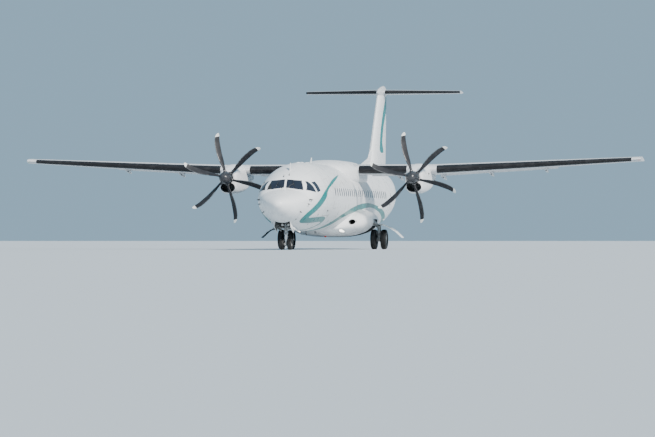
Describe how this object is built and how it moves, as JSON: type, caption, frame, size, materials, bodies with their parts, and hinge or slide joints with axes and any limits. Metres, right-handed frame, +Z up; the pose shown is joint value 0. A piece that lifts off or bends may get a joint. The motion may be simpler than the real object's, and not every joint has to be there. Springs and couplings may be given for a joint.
{
  "type": "turboprop airliner",
  "caption": "High-wing twin turboprop airliner with a T-tail, six-blade propellers, belly pods and twin-wheel landing gear, parked with flaps part down.",
  "frame": {"origin": "on the ground, at the middle of the overall length and on the centre line", "axes": "+Y towards the tail along the fuselage, +X to the port side, +Z up"},
  "size_m": [27.05, 27.166, 7.65],
  "materials": {
    "white_paint": "gloss",
    "boot_rubber": "satin",
    "blade_composite": "satin",
    "spinner_paint": "gloss",
    "cockpit_glass": "polished",
    "lamp_glass": "polished",
    "tyre_rubber": "matte",
    "wheel_metal": "satin",
    "gear_metal": "satin",
    "engine_metal": "satin"
  },
  "bodies": {
    "airframe": {"belly_fairing": "white_paint", "deice_boot_inner_port": "boot_rubber", "deice_boot_inner_starboard": "boot_rubber", "deice_boot_outer_port": "boot_rubber", "deice_boot_outer_starboard": "boot_rubber", "engine_port": "engine_metal", "engine_starboard": "engine_metal", "fin": "white_paint", "fuselage": "white_paint", "landing_light_port": "lamp_glass", "landing_light_starboard": "lamp_glass", "main_gear_door_port": "white_paint", "main_gear_door_starboard": "white_paint", "main_gear_leg_port": "gear_metal", "main_gear_leg_starboard": "gear_metal", "main_gear_shock_port": "gear_metal", "main_gear_shock_starboard": "gear_metal", "nacelle_port": "white_paint", "nacelle_starboard": "white_paint", "nose_gear_aft_door_port": "white_paint", "nose_gear_aft_door_starboard": "white_paint", "nose_gear_door_port": "white_paint", "nose_gear_door_starboard": "white_paint", "nose_gear_leg": "gear_metal", "side_window_aft_port": "cockpit_glass", "side_window_aft_starboard": "cockpit_glass", "side_window_forward_port": "cockpit_glass", "side_window_forward_starboard": "cockpit_glass", "tailplane": "white_paint", "windscreen_port": "cockpit_glass", "windscreen_starboard": "cockpit_glass", "wing_centre": "white_paint", "wing_fairing": "white_paint", "wing_outer_port": "white_paint", "wing_outer_starboard": "white_paint"},
    "nose_steering_fork": {"nose_gear_fork": "gear_metal"},
    "nose_wheels": {"nose_tyre_port": "tyre_rubber", "nose_tyre_starboard": "tyre_rubber", "nose_wheel_rims": "wheel_metal"},
    "main_wheels_port": {"main_tyre_port_inner": "tyre_rubber", "main_tyre_port_outer": "tyre_rubber", "main_wheel_rims_port": "wheel_metal"},
    "main_wheels_starboard": {"main_tyre_starboard_inner": "tyre_rubber", "main_tyre_starboard_outer": "tyre_rubber", "main_wheel_rims_starboard": "wheel_metal"},
    "propeller_port_body": {"propeller_port": "blade_composite", "spinner_port": "spinner_paint"},
    "propeller_starboard_body": {"propeller_starboard": "blade_composite", "spinner_starboard": "spinner_paint"},
    "rudder_body": {"rudder": "white_paint"},
    "elevator_port_body": {"elevator_port": "white_paint"},
    "aileron_port_body": {"aileron_port": "white_paint"},
    "flap_inner_port_body": {"flap_inner_port": "white_paint"},
    "flap_outer_port_body": {"flap_outer_port": "white_paint"},
    "elevator_starboard_body": {"elevator_starboard": "white_paint"},
    "aileron_starboard_body": {"aileron_starboard": "white_paint"},
    "flap_inner_starboard_body": {"flap_inner_starboard": "white_paint"},
    "flap_outer_starboard_body": {"flap_outer_starboard": "white_paint"},
    "passenger_door_body": {"passenger_door": "white_paint"},
    "cargo_door_body": {"cargo_door": "white_paint"}
  },
  "joints": [
    {"name": "propeller_port_spin", "type": "hinge", "parent": "airframe", "child": "propeller_port_body", "pos_m": [4.05, -4.283, 3.065], "axis": [0, -1, 0], "continuous": true},
    {"name": "propeller_starboard_spin", "type": "hinge", "parent": "airframe", "child": "propeller_starboard_body", "pos_m": [-4.05, -4.283, 3.065], "axis": [0, -1, 0], "continuous": true},
    {"name": "nose_steering", "type": "hinge", "parent": "airframe", "child": "nose_steering_fork", "pos_m": [0, -11.733, 0.64], "axis": [0, 0, 1], "range_deg": [-60, 60]},
    {"name": "nose_wheels_spin", "type": "hinge", "parent": "nose_steering_fork", "child": "nose_wheels", "pos_m": [0, -11.733, 0.225], "axis": [1, 0, 0], "continuous": true},
    {"name": "main_wheels_port_spin", "type": "hinge", "parent": "airframe", "child": "main_wheels_port", "pos_m": [2.05, -0.963, 0.432], "axis": [1, 0, 0], "continuous": true},
    {"name": "main_wheels_starboard_spin", "type": "hinge", "parent": "airframe", "child": "main_wheels_starboard", "pos_m": [-2.05, -0.963, 0.432], "axis": [1, 0, 0], "continuous": true},
    {"name": "rudder_swing", "type": "hinge", "parent": "airframe", "child": "rudder_body", "pos_m": [0, 11.35184, 3.67], "axis": [0, 0.3004, 0.9538], "range_deg": [-28, 28]},
    {"name": "elevator_port_swing", "type": "hinge", "parent": "airframe", "child": "elevator_port_body", "pos_m": [0.22, 12.89707, 7.33], "axis": [0.9996, 0.0287, 0], "range_deg": [-13, 23]},
    {"name": "elevator_starboard_swing", "type": "hinge", "parent": "airframe", "child": "elevator_starboard_body", "pos_m": [-0.22, 12.89707, 7.33], "axis": [0.9996, -0.0287, 0], "range_deg": [-13, 23]},
    {"name": "aileron_port_swing", "type": "hinge", "parent": "airframe", "child": "aileron_port_body", "pos_m": [9.91, -0.47938, 3.67515], "axis": [0.9983, -0.0301, 0.0491], "range_deg": [-14, 14]},
    {"name": "aileron_starboard_swing", "type": "hinge", "parent": "airframe", "child": "aileron_starboard_body", "pos_m": [-9.91, -0.47938, 3.67515], "axis": [0.9983, 0.0301, -0.0491], "range_deg": [-14, 14]},
    {"name": "flap_inner_port_swing", "type": "hinge", "parent": "airframe", "child": "flap_inner_port_body", "pos_m": [1.53, -0.18512, 3.17164], "axis": [-1, 0, 0], "range_deg": [-15, 20]},
    {"name": "flap_inner_starboard_swing", "type": "hinge", "parent": "airframe", "child": "flap_inner_starboard_body", "pos_m": [-1.53, -0.18512, 3.17164], "axis": [-1, 0, 0], "range_deg": [-15, 20]},
    {"name": "flap_outer_port_swing", "type": "hinge", "parent": "airframe", "child": "flap_outer_port_body", "pos_m": [4.65, -0.18833, 3.17727], "axis": [-0.9975, 0.0356, -0.0616], "range_deg": [-15, 20]},
    {"name": "flap_outer_starboard_swing", "type": "hinge", "parent": "airframe", "child": "flap_outer_starboard_body", "pos_m": [-4.65, -0.18833, 3.17727], "axis": [-0.9975, -0.0356, 0.0616], "range_deg": [-15, 20]},
    {"name": "passenger_door_swing", "type": "hinge", "parent": "airframe", "child": "passenger_door_body", "pos_m": [1.11603, 5.567, 1.339], "axis": [-0.0823, 0.9966, 0], "range_deg": [0, 125]},
    {"name": "cargo_door_swing", "type": "hinge", "parent": "airframe", "child": "cargo_door_body", "pos_m": [1.1584, -10.023, 2.921], "axis": [-0.0646, -0.9979, 0], "range_deg": [0, 110]}
  ],
  "couplings": [
    {"joint": "elevator_starboard_swing", "follows": "elevator_port_swing", "ratio": 1},
    {"joint": "aileron_starboard_swing", "follows": "aileron_port_swing", "ratio": -1},
    {"joint": "flap_inner_starboard_swing", "follows": "flap_inner_port_swing", "ratio": 1},
    {"joint": "flap_outer_port_swing", "follows": "flap_inner_port_swing", "ratio": 1},
    {"joint": "flap_outer_starboard_swing", "follows": "flap_inner_port_swing", "ratio": 1}
  ]
}
